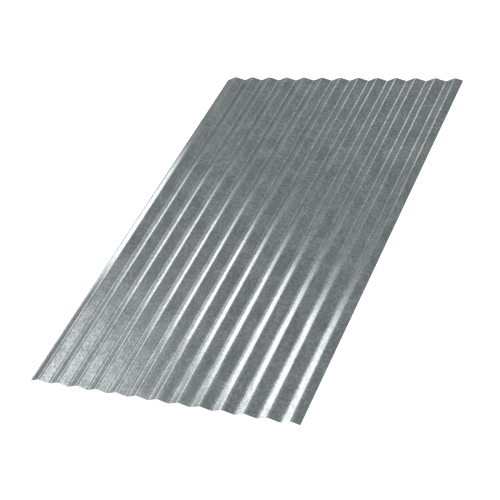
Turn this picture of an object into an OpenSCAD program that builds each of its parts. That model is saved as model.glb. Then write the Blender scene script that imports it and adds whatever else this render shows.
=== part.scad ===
// Corrugated steel sheet: one strip of thin galvanised steel, roll-formed into straight waves
// along its length and sheared off square. All sizes are in millimetres.
// X runs across the waves, Y along them and Z is up. The origin is under the middle of the sheet.

/* [Sheet] */
// Length of the sheet along its waves
sheet_l = 1870; // [300:10:6000]
// Thickness of the strip
sheet_t = 0.5; // [0.3:0.05:1.5]

/* [Waves] */
// Number of crests across the sheet
crests = 13; // [4:1:20]
// Width that a laid sheet covers, from the middle of its first crest to the middle of its last
cover_w = 1100; // [700:10:2000]
// Height over all, from the underside of a valley to the top of a crest
depth = 16; // [8:0.5:30]
// Width of the flat along the top of a crest
crest_flat = 2; // [1:0.5:20]
// Width of the flat along the bottom of a valley
valley_flat = 2; // [1:0.5:20]
// Inside radius of every bend
bend_r = 14; // [2:0.5:20]

/* [Side laps] */
// Distance from the middle of the first crest to the left edge, which ends in a valley
left_reach = 47.3; // [10:0.1:55]
// Distance from the middle of the last crest to the right edge, which ends on a slope
right_reach = 33.5; // [10:0.1:55]

/* [Hidden] */
$fn = 96;
outer_r = bend_r + sheet_t;
pitch = cover_w / (crests - 1);
overall_w = left_reach + cover_w + right_reach;

// From a valley the strip climbs by a bend, a straight slope and a bend back to level. The ideal
// slope is the one at which these three, measured along the middle of the strip, end on the crest.
bends_line = 2 * bend_r + sheet_t;
climb_run = (pitch - crest_flat - valley_flat) / 2;
climb_rise = depth - sheet_t;
straight_rise = climb_rise - bends_line;
ideal_angle = asin(bends_line / norm([climb_run, straight_rise])) + atan2(straight_rise, climb_run);

// The slope is turned by some thousandths of a degree, to an angle whose sine and cosine make a
// true right triangle when they are written with six digits. Bends and slopes then meet exactly.
function six_digits(value) = round(1e6 * value) / 1e6;
function misfit(angle) = abs(norm([six_digits(cos(angle)), six_digits(sin(angle))]) - 1);
function true_angle(angle) = misfit(angle) < 1e-8 ? angle : true_angle(angle + 1e-4);
slope_angle = true_angle(ideal_angle);
slope_l = (climb_rise - bends_line * (1 - cos(slope_angle))) / sin(slope_angle);

// Each half wave draws this share of a flat, so that two halves overlap in its middle
flat_share = 3 / 4;

// A bend of the strip about the origin: it starts straight below and turns up to the right
module bend() {
    intersection() {
        difference() {
            circle(outer_r);
            circle(bend_r);
        }
        translate([0, -2 * outer_r]) square(2 * outer_r);
        rotate(slope_angle) translate([-2 * outer_r, -2 * outer_r]) square(2 * outer_r);
    }
}

// Half a wave, from the middle of a valley at x = 0 up to the crest on its right. It is drawn as
// a chain, in which every piece starts where the one before it ends.
module half_wave() {
    translate([valley_flat / 2, outer_r]) {
        translate([-flat_share * valley_flat, -outer_r]) square([flat_share * valley_flat, sheet_t]);
        bend();
        rotate(slope_angle) {
            translate([0, -outer_r]) square([slope_l, sheet_t]);
            translate([slope_l, -outer_r - bend_r]) rotate(-slope_angle) {
                rotate(180) bend();
                translate([0, bend_r]) square([flat_share * crest_flat, sheet_t]);
            }
        }
    }
}

// The section of the whole strip: a valley to each side of every crest, slit at both edges
module section() {
    first_crest = left_reach - overall_w / 2;
    intersection() {
        for (valley = [0 : crests]) {
            translate([first_crest + (valley - 0.5) * pitch, 0]) {
                half_wave();
                mirror([1, 0]) half_wave();
            }
        }
        translate([-overall_w / 2, -depth]) square([overall_w, 3 * depth]);
    }
}

module corrugated_sheet() {
    color("slategray")
        translate([0, sheet_l / 2, 0]) rotate([90, 0, 0]) linear_extrude(sheet_l) section();
}

corrugated_sheet();
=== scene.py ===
import math

import bpy
import numpy as np
from mathutils import Matrix, Vector


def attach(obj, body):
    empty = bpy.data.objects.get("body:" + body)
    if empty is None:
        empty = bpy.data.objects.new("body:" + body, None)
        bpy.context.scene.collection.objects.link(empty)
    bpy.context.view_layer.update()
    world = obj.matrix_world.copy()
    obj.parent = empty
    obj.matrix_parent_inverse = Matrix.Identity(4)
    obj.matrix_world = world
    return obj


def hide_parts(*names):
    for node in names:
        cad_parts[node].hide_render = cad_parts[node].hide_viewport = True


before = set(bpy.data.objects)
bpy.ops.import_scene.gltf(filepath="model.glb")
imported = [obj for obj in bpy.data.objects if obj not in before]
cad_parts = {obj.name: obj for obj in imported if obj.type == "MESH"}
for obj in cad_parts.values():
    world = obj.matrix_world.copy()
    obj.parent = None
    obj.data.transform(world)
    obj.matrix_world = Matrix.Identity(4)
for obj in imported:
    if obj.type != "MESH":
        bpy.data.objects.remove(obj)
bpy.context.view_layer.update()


# The corrugated sheet
# One strip of thin steel, zinc coated in the coil, roll-formed into straight waves and sheared
# off square at both ends. It lies loose on the floor, on the flats of its valleys.

sheet_length = 1.870
sheet_thickness = 0.0005
cover_width = 1.100
crest_count = 13
wave_depth = 0.0160
crest_flat = 0.002
valley_flat = 0.002
bend_inside_radius = 0.0140
left_reach = 0.0473
right_reach = 0.0335
bend_steps = 8
slope_steps = 4
length_steps = 48
underside_gap = 0.2
sharp_angle = math.radians(40)


def wave_slope():
    """Angle of the straight slopes: a bend, a slope and a bend back climb from valley to crest.

    Along the strip's middle line, run * sin(angle) - (rise - two bend radii) * cos(angle) is
    two bend radii. Returns the angle, the length of a slope and the middle line's bend radius.
    """
    radius = bend_inside_radius + sheet_thickness / 2
    run = (cover_width / (crest_count - 1) - crest_flat - valley_flat) / 2
    rise = wave_depth - sheet_thickness
    spare = rise - 2 * radius
    angle = math.asin(2 * radius / math.hypot(run, spare)) + math.atan2(spare, run)
    return angle, (run - 2 * radius * math.sin(angle)) / math.cos(angle), radius


def strip_section():
    """Middle line of the strip across the sheet, as points, headings and distance along it.

    The line is a row of stretches of even curvature: over each step its heading goes evenly from
    one angle to the next, so the step is a chord of length * sin(half turn) / (half turn),
    in the direction of the mean heading. The points are the running sum of these chords.
    """
    angle, slope_length, radius = wave_slope()
    bend_length = radius * angle
    stretches = [(bend_length, 0, angle, bend_steps), (slope_length, angle, angle, slope_steps),
                 (bend_length, angle, 0, bend_steps), (crest_flat, 0, 0, 1),
                 (bend_length, 0, -angle, bend_steps), (slope_length, -angle, -angle, slope_steps),
                 (bend_length, -angle, 0, bend_steps), (valley_flat, 0, 0, 1)]
    pitch = cover_width / (crest_count - 1)
    first_flat = left_reach - pitch / 2 + valley_flat / 2
    last_slope = (right_reach - crest_flat / 2 - radius * math.sin(angle)) / math.cos(angle)
    row = [(first_flat, 0, 0, 1)] + stretches * crest_count
    row[-3:] = [(last_slope, -angle, -angle, slope_steps)]

    steps = np.concatenate([np.full(count, length / count) for length, _, _, count in row])
    turned = [np.linspace(start, end, count + 1) for _, start, end, count in row]
    heading_in = np.concatenate([part[:-1] for part in turned])
    heading_out = np.concatenate([part[1:] for part in turned])
    mean = (heading_in + heading_out) / 2
    chord = steps * np.sinc((heading_out - heading_in) / (2 * math.pi))
    across = np.concatenate([[0], np.cumsum(chord * np.cos(mean))])
    height = np.concatenate([[0], np.cumsum(chord * np.sin(mean))])
    heading = np.concatenate([heading_in[:1], heading_out])
    along = np.concatenate([[0], np.cumsum(steps)])
    across -= (across[0] + across[-1]) / 2
    return across, height + sheet_thickness / 2, heading, along


def sheet_mesh(name):
    """The strip as a closed skin: its section's outline carried along the waves.

    The outline is the middle line moved out by half the thickness along its normal, from left to
    right on top and back again underneath. Rows of it stand along the length, and both ends are
    closed by a band of faces between the top and the underside. The map flat_strip lays the strip
    out flat, in metres, with the underside beside the top and a gap between the two.
    """
    across, height, heading, along = strip_section()
    count = len(across)
    normal = np.stack([-np.sin(heading), np.cos(heading)], 1) * sheet_thickness / 2
    line = np.stack([across, height], 1)
    outline = np.concatenate([line + normal, (line - normal)[::-1]])
    flat_across = np.concatenate([along, (2 * along[-1] + underside_gap - along)[::-1]])
    ring = len(outline)
    rows = np.linspace(-sheet_length / 2, sheet_length / 2, length_steps + 1)

    points = np.empty((len(rows), ring, 3))
    points[:, :, 0] = outline[:, 0]
    points[:, :, 1] = rows[:, None]
    points[:, :, 2] = outline[:, 1]

    number = np.arange(len(rows) * ring).reshape(len(rows), ring)
    turned = np.roll(number, -1, axis=1)
    skin = np.stack([number[:-1], turned[:-1], turned[1:], number[1:]], -1).reshape(-1, 4)
    top = np.arange(count - 1)
    below = ring - 1 - top
    end = np.stack([top, below, below - 1, top + 1], 1)
    faces = np.concatenate([skin, number[0][end], number[-1][end][:, ::-1]])

    mesh = bpy.data.meshes.new(name)
    mesh.vertices.add(points.size // 3)
    mesh.vertices.foreach_set("co", points.ravel())
    mesh.loops.add(faces.size)
    mesh.loops.foreach_set("vertex_index", faces.ravel())
    mesh.polygons.add(len(faces))
    mesh.polygons.foreach_set("loop_start", np.arange(0, faces.size, 4))
    mesh.update(calc_edges=True)

    spread = np.empty((len(rows), ring, 2))
    spread[:, :, 0] = flat_across
    spread[:, :, 1] = rows[:, None]
    layer = mesh.uv_layers.new(name="flat_strip")
    layer.data.foreach_set("uv", spread.reshape(-1, 2)[faces.ravel()].ravel())

    side = np.zeros((length_steps, ring), dtype=np.int32)
    side[:, [count - 1, ring - 1]] = 1
    slot = np.concatenate([side.ravel(), np.ones(2 * (count - 1), dtype=np.int32)])
    mesh.polygons.foreach_set("material_index", slot)
    mesh.polygons.foreach_set("use_smooth", np.ones(len(faces), dtype=bool))
    mesh.set_sharp_from_angle(angle=sharp_angle)
    return mesh


def add_node(tree, kind, settings=(), **inputs):
    """A node of that kind, with its settings and with its inputs set to values or linked.

    An input goes by its name, with _ for a space, or by its number after a _.
    """
    node = tree.nodes.new(kind)
    for key, value in dict(settings).items():
        setattr(node, key, value)
    for key, value in inputs.items():
        socket = node.inputs[int(key[1:]) if key[1:].isdigit() else key.replace("_", " ")]
        if isinstance(value, bpy.types.NodeSocket):
            tree.links.new(value, socket)
        else:
            socket.default_value = value
    return node


def new_material(name):
    """An empty node material, and its tree."""
    material = bpy.data.materials.new(name)
    material.use_nodes = True
    material.node_tree.nodes.clear()
    return material, material.node_tree


def worked_out(tree, operation, *values):
    """Result of one operation on numbers, such as ADD or MULTIPLY."""
    numbered = {"_%d" % index: value for index, value in enumerate(values)}
    return add_node(tree, "ShaderNodeMath", {"operation": operation}, **numbered).outputs["Value"]


def vector_worked_out(tree, operation, *values):
    """Result of one operation on vectors, taken number by number."""
    numbered = {"_%d" % index: value for index, value in enumerate(values)}
    node = add_node(tree, "ShaderNodeVectorMath", {"operation": operation}, **numbered)
    return node.outputs["Vector"]


def smooth_step(tree, value, low, high, start=0.0, end=1.0):
    """Number that goes smoothly from start to end as the value goes from low to high."""
    step = add_node(tree, "ShaderNodeMapRange", {"interpolation_type": "SMOOTHSTEP"}, Value=value,
                    From_Min=low, From_Max=high, To_Min=start, To_Max=end)
    return step.outputs["Result"]


def two_tones(tree, share, low, high, first, second):
    """Colour that goes evenly from the first to the second as the share goes from low to high."""
    ramp = add_node(tree, "ShaderNodeValToRGB", Fac=share)
    for element, position, tone in zip(ramp.color_ramp.elements, (low, high), (first, second)):
        element.position = position
        element.color = tone
    return ramp.outputs["Color"]


def multiplied(tree, first, second):
    """Product of two colours."""
    mix = add_node(tree, "ShaderNodeMix", {"data_type": "RGBA", "blend_type": "MULTIPLY"},
                   _0=1.0, _6=first, _7=second)
    return mix.outputs[2]


def strip_noise(tree, place, **settings):
    """Soft random number over the flat strip, a half on average. Its scale is spots to a metre."""
    noise = add_node(tree, "ShaderNodeTexNoise", {"noise_dimensions": "2D"}, Vector=place, **settings)
    return noise.outputs["Fac"]


crystals_to_metre = 150.0
crystal_share = 0.4
crystal_tilt = 0.006
grains_to_metre = 260.0
grain_height = 0.0006
tone_low, tone_high = 0.2, 0.8
zinc_dark = (0.404, 0.421, 0.431, 1)
zinc_light = (0.751, 0.782, 0.798, 1)
dark_roughness, light_roughness = 0.155, 0.115

clouds_to_metre = 14.0
cloud_stretch = (1.0, 0.55, 1.0)
cloud_low, cloud_high = 0.35, 0.65
cloud_dark = (0.865, 0.87, 0.885, 1)
cloud_light = (1.085, 1.09, 1.075, 1)

casts_to_metre = 10.0
cast_low, cast_high = 0.38, 0.62
cast_blue = (0.994, 0.994, 1.012, 1)
cast_green = (1.0, 1.007, 0.986, 1)
greener_from, greener_to = 0.0, 0.6
near_drift, far_drift = -0.06, 0.16

curls_to_metre = 42.0
curl_width = 0.03
patches_to_metre = 9.0
patch_low, patch_high = 0.52, 0.72
rubbed_corner = (0.1, -sheet_length / 2, 0.0)
rubbed_near, rubbed_far = 0.15, 0.8
rubbed_more = 0.13
scuff_pale = (0.88, 0.90, 0.905, 1)


def galvanised_steel():
    """Zinc coat: crystals of a few millimetres that differ in tone and lie a little askew.

    Fine grain lies over them, and soft clouds run along the strip. A slight cast of blue or green
    comes and goes, greener towards the far end, and pale scuffs curl over some patches, most of them
    near the left front corner.
    """
    material, tree = new_material("galvanised_steel")
    place = add_node(tree, "ShaderNodeUVMap", {"uv_map": "flat_strip"}).outputs["UV"]

    crystal = add_node(tree, "ShaderNodeTexVoronoi", {"voronoi_dimensions": "2D"}, Vector=place,
                       Scale=crystals_to_metre, Randomness=1.0).outputs["Color"]
    crystal_tone = add_node(tree, "ShaderNodeSeparateColor", Color=crystal).outputs["Red"]
    grain = strip_noise(tree, place, Scale=grains_to_metre, Detail=3.0, Roughness=0.65)
    tone = worked_out(tree, "MULTIPLY", crystal_tone, crystal_share)
    tone = worked_out(tree, "MULTIPLY_ADD", grain, 1 - crystal_share, tone)
    zinc = two_tones(tree, tone, tone_low, tone_high, zinc_dark, zinc_light)

    stretched = add_node(tree, "ShaderNodeMapping", Vector=place, Scale=cloud_stretch)
    cloud = strip_noise(tree, stretched.outputs["Vector"],
                        Scale=clouds_to_metre, Detail=5.0, Roughness=0.62)
    zinc = multiplied(tree, zinc, two_tones(tree, cloud, cloud_low, cloud_high, cloud_dark, cloud_light))

    along = add_node(tree, "ShaderNodeSeparateXYZ", Vector=place).outputs["Y"]
    drift = smooth_step(tree, along, greener_from, greener_to, near_drift, far_drift)
    hue = strip_noise(tree, place, Scale=casts_to_metre, Detail=2.0)
    hue = worked_out(tree, "ADD", hue, drift)
    zinc = multiplied(tree, zinc, two_tones(tree, hue, cast_low, cast_high, cast_blue, cast_green))

    curl = strip_noise(tree, place, Scale=curls_to_metre, Detail=2.0, Roughness=0.5, Distortion=0.6)
    curl = worked_out(tree, "ABSOLUTE", worked_out(tree, "SUBTRACT", curl, 0.5))
    curl = smooth_step(tree, curl, 0.0, curl_width, 1.0, 0.0)
    patch = strip_noise(tree, place, Scale=patches_to_metre, Detail=2.0)
    away = add_node(tree, "ShaderNodeVectorMath", {"operation": "DISTANCE"},
                    _0=place, _1=rubbed_corner).outputs["Value"]
    rubbed = smooth_step(tree, away, rubbed_near, rubbed_far, rubbed_more, 0.0)
    patch = smooth_step(tree, worked_out(tree, "ADD", patch, rubbed), patch_low, patch_high)
    scuff = worked_out(tree, "MULTIPLY", curl, patch)
    zinc = add_node(tree, "ShaderNodeMix", {"data_type": "RGBA"},
                    _0=scuff, _6=zinc, _7=scuff_pale).outputs[2]

    rough = add_node(tree, "ShaderNodeMapRange", Value=tone, From_Min=tone_low, From_Max=tone_high,
                     To_Min=dark_roughness, To_Max=light_roughness).outputs["Result"]
    askew = vector_worked_out(tree, "SUBTRACT", crystal, (0.5, 0.5, 0.5))
    level = add_node(tree, "ShaderNodeNewGeometry").outputs["Normal"]
    facet = vector_worked_out(tree, "MULTIPLY_ADD", askew, (crystal_tilt,) * 3, level)
    facet = vector_worked_out(tree, "NORMALIZE", facet)
    bump = add_node(tree, "ShaderNodeBump", Strength=0.05, Distance=grain_height,
                    Height=grain, Normal=facet)
    shader = add_node(tree, "ShaderNodeBsdfPrincipled", Metallic=1.0, Base_Color=zinc,
                      Roughness=rough, Normal=bump.outputs["Normal"])
    add_node(tree, "ShaderNodeOutputMaterial", Surface=shader.outputs["BSDF"])
    return material


edge_dark = (0.34, 0.35, 0.36, 1)
edge_light = (0.62, 0.64, 0.65, 1)
mottles_to_metre = 900.0


def sheared_edge():
    """Bare steel of a cut edge: fine mottling from the shear, in two close tones of grey."""
    material, tree = new_material("sheared_edge")
    place = add_node(tree, "ShaderNodeTexCoord").outputs["Object"]
    mottle = add_node(tree, "ShaderNodeTexNoise", Vector=place, Scale=mottles_to_metre, Detail=2.0)
    steel = two_tones(tree, mottle.outputs["Fac"], 0.0, 1.0, edge_dark, edge_light)
    shader = add_node(tree, "ShaderNodeBsdfPrincipled", Metallic=1.0, Roughness=0.42, Base_Color=steel)
    add_node(tree, "ShaderNodeOutputMaterial", Surface=shader.outputs["BSDF"])
    return material


sheet = bpy.data.objects.new("corrugated_sheet_zinc", sheet_mesh("corrugated_sheet_zinc"))
bpy.context.collection.objects.link(sheet)
sheet.data.materials.append(galvanised_steel())
sheet.data.materials.append(sheared_edge())
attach(sheet, "root")
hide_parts("corrugated_sheet")


# The floor
# A plain pale studio floor, wide enough to fill every view. It carries the sheet, and it glows a
# little, as a light table does, so that shadows stay faint. The sheet doesn't mirror it.

floor_half = 40.0
floor_tone = (0.86, 0.86, 0.86, 1)
floor_glow = 0.8
floor_mesh = bpy.data.meshes.new("floor")
floor_mesh.from_pydata([(-floor_half, -floor_half, 0), (floor_half, -floor_half, 0),
                        (floor_half, floor_half, 0), (-floor_half, floor_half, 0)],
                       [], [(0, 1, 2, 3)])
floor = bpy.data.objects.new("floor", floor_mesh)
bpy.context.collection.objects.link(floor)
floor_paint = bpy.data.materials.new("floor_paint")
floor_paint.use_nodes = True
floor_shader = floor_paint.node_tree.nodes["Principled BSDF"]
floor_shader.inputs["Base Color"].default_value = floor_tone
floor_shader.inputs["Roughness"].default_value = 0.9
floor_shader.inputs["Specular IOR Level"].default_value = 0.1
floor_shader.inputs["Emission Color"].default_value = (1.0, 1.0, 1.0, 1)
floor_shader.inputs["Emission Strength"].default_value = floor_glow
floor.data.materials.append(floor_paint)
floor.visible_glossy = False


# The light
# A dim grey room with a lamp for the floor, and graded soft boxes far off that the sheet mirrors. A
# tall strip in a broad glow stands at the left rear, a small light behind it and one overhead. Four
# more, at the front, the right, the left and the back, show the waves from the other sides.

panel_distance = 300.0
panel_steps = 24


def bearing(azimuth, elevation):
    """Direction from the sheet: azimuth in degrees from +Y towards -X, elevation above the floor."""
    turn, climb = math.radians(azimuth), math.radians(elevation)
    level = math.cos(climb)
    return Vector((-math.sin(turn) * level, math.cos(turn) * level, math.sin(climb)))


def light_panel(name, rows, radiance, soft_across, soft_up):
    """Soft box far off, spanned between rows of directions, brightest in its middle.

    A row is an elevation and the azimuths of its two ends. It runs straight from one end to the
    other, and between two rows the panel goes on evenly. The radiance rises smoothly from nothing at
    an edge to its full value at a share of the width, soft_across, and of the height, soft_up,
    inside that edge.
    """
    share = np.linspace(0, 1, panel_steps + 1)
    across, up = np.meshgrid(share, share)
    ends = np.array([[bearing(azimuth, elevation) * panel_distance for azimuth in azimuths]
                     for elevation, *azimuths in rows])
    ends = ends.reshape(len(rows), 6)
    knots = np.linspace(0, 1, len(rows))
    spans = np.stack([np.interp(share, knots, column) for column in ends.T], 1)
    start, end = spans[:, None, :3], spans[:, None, 3:]
    points = start + across[..., None] * (end - start)
    number = np.arange(points.size // 3).reshape(across.shape)
    faces = np.stack([number[:-1, :-1], number[:-1, 1:], number[1:, 1:], number[1:, :-1]], -1)
    faces = faces.reshape(-1, 4)
    mesh = bpy.data.meshes.new(name)
    mesh.from_pydata(points.reshape(-1, 3), [], faces)
    layer = mesh.uv_layers.new(name="share")
    shares = np.stack([across, up], -1).reshape(-1, 2)
    layer.data.foreach_set("uv", shares[faces.ravel()].ravel())

    material, tree = new_material(name)
    place = add_node(tree, "ShaderNodeUVMap", {"uv_map": "share"}).outputs["UV"]
    mirrored = vector_worked_out(tree, "SUBTRACT", (1.0, 1.0, 1.0), place)
    inside = vector_worked_out(tree, "MINIMUM", place, mirrored)
    inside = add_node(tree, "ShaderNodeSeparateXYZ", Vector=inside)
    fade_across = smooth_step(tree, inside.outputs["X"], 0.0, soft_across)
    fade_up = smooth_step(tree, inside.outputs["Y"], 0.0, soft_up)
    strength = worked_out(tree, "MULTIPLY", fade_across, fade_up)
    strength = worked_out(tree, "MULTIPLY", strength, radiance)
    glow = add_node(tree, "ShaderNodeEmission", Strength=strength)
    clear = add_node(tree, "ShaderNodeBsdfTransparent")
    both = add_node(tree, "ShaderNodeAddShader",
                    _0=glow.outputs["Emission"], _1=clear.outputs["BSDF"])
    add_node(tree, "ShaderNodeOutputMaterial", Surface=both.outputs["Shader"])

    panel = bpy.data.objects.new(name, mesh)
    mesh.materials.append(material)
    panel.visible_camera = False
    panel.visible_shadow = False
    bpy.context.collection.objects.link(panel)


light_panel("strip_light", [(-14, 50.5, 58.3), (-6, 50.7, 58.9), (2, 51, 60), (10, 52.3, 62),
                            (16.8, 53.3, 64.1)], radiance=1.57, soft_across=0.33, soft_up=0.3)
light_panel("side_glow", [(6, 51, 84), (11, 50.2, 84), (16, 49.2, 84), (21, 49.2, 84), (26, 48.4, 84),
                          (31, 45, 84), (36, 42, 84)], radiance=0.98, soft_across=0.3, soft_up=0.3)
light_panel("corner_glow", [(27, 41.5, 55), (33, 41, 55), (40, 40, 55)],
            radiance=0.5, soft_across=0.5, soft_up=0.5)
light_panel("high_glow", [(34, 42, 74), (42, 39, 72), (50, 34, 70), (58, 26, 66)],
            radiance=0.32, soft_across=0.3, soft_up=0.2)
light_panel("low_glow", [(1, 59, 84), (14, 61, 84)], radiance=0.06, soft_across=0.2, soft_up=0.3)
light_panel("far_glow", [(10, 34, 45), (26, 34, 45)], radiance=0.22, soft_across=0.35, soft_up=0.35)
light_panel("rear_light", [(29, 25.5, 32.5), (35.5, 24.8, 31.8), (42, 24.2, 31.2)],
            radiance=1.3, soft_across=0.35, soft_up=0.45)
light_panel("rear_glow", [(28, 30, 52), (41, 12, 44), (51, -18, 22)],
            radiance=0.11, soft_across=0.35, soft_up=0.35)
light_panel("overhead_light", [(57.2, -10.5, 12.5), (64, -13.5, 13.8), (69, -17.5, 16), (74, -23, 22)],
            radiance=0.93, soft_across=0.42, soft_up=0.3)
light_panel("front_light", [(4, 174, 210), (18, 174, 214), (32, 158, 245), (46, 140, 245),
                            (60, 140, 245)], radiance=0.6, soft_across=0.3, soft_up=0.2)
light_panel("right_light", [(22, 252, 304), (64, 250, 306)],
            radiance=0.6, soft_across=0.35, soft_up=0.35)
light_panel("left_light", [(4, 72, 134), (40, 72, 134)], radiance=0.6, soft_across=0.25, soft_up=0.35)
light_panel("back_light", [(2, -40, 14), (30, -36, 10)], radiance=0.5, soft_across=0.35, soft_up=0.35)

lamp_bearing = bearing(215.0, 62.0)
lamp_spread = math.radians(50)
lamp_data = bpy.data.lights.new("floor_lamp", "SUN")
lamp_data.energy = 1.2
lamp_data.angle = lamp_spread
lamp = bpy.data.objects.new("floor_lamp", lamp_data)
lamp.rotation_euler = (-lamp_bearing).to_track_quat("-Z", "Y").to_euler()
lamp.visible_glossy = False
bpy.context.collection.objects.link(lamp)

room_grey = (0.285, 0.303, 0.306, 1)
room_pale = (0.92, 0.92, 0.92, 1)
room = bpy.data.worlds.new("room")
room.use_nodes = True
room_ray = add_node(room.node_tree, "ShaderNodeLightPath")
room_tone = add_node(room.node_tree, "ShaderNodeMix", {"data_type": "RGBA"},
                     _0=room_ray.outputs["Is Camera Ray"], _6=room_grey, _7=room_pale)
room.node_tree.links.new(room_tone.outputs[2], room.node_tree.nodes["Background"].inputs["Color"])
bpy.context.scene.world = room
bpy.context.scene.view_settings.view_transform = "Standard"


# The camera
# Above the right near corner, looking down along the waves, turned about its own axis as the
# photograph is.

camera_data = bpy.data.cameras.new("camera")
camera_data.lens = 85.868
camera_data.sensor_width = 36.0
camera = bpy.data.objects.new("camera", camera_data)
camera_place = Vector((2.3993, -2.9413, 3.0518))
camera_aim = Vector((0.0315, -0.1530, 0.0))
camera_roll = -23.502
camera_turn = (camera_aim - camera_place).to_track_quat("-Z", "Y").to_matrix().to_4x4()
camera.matrix_world = (Matrix.Translation(camera_place) @ camera_turn
                       @ Matrix.Rotation(math.radians(camera_roll), 4, "Z"))
bpy.context.collection.objects.link(camera)
bpy.context.scene.camera = camera
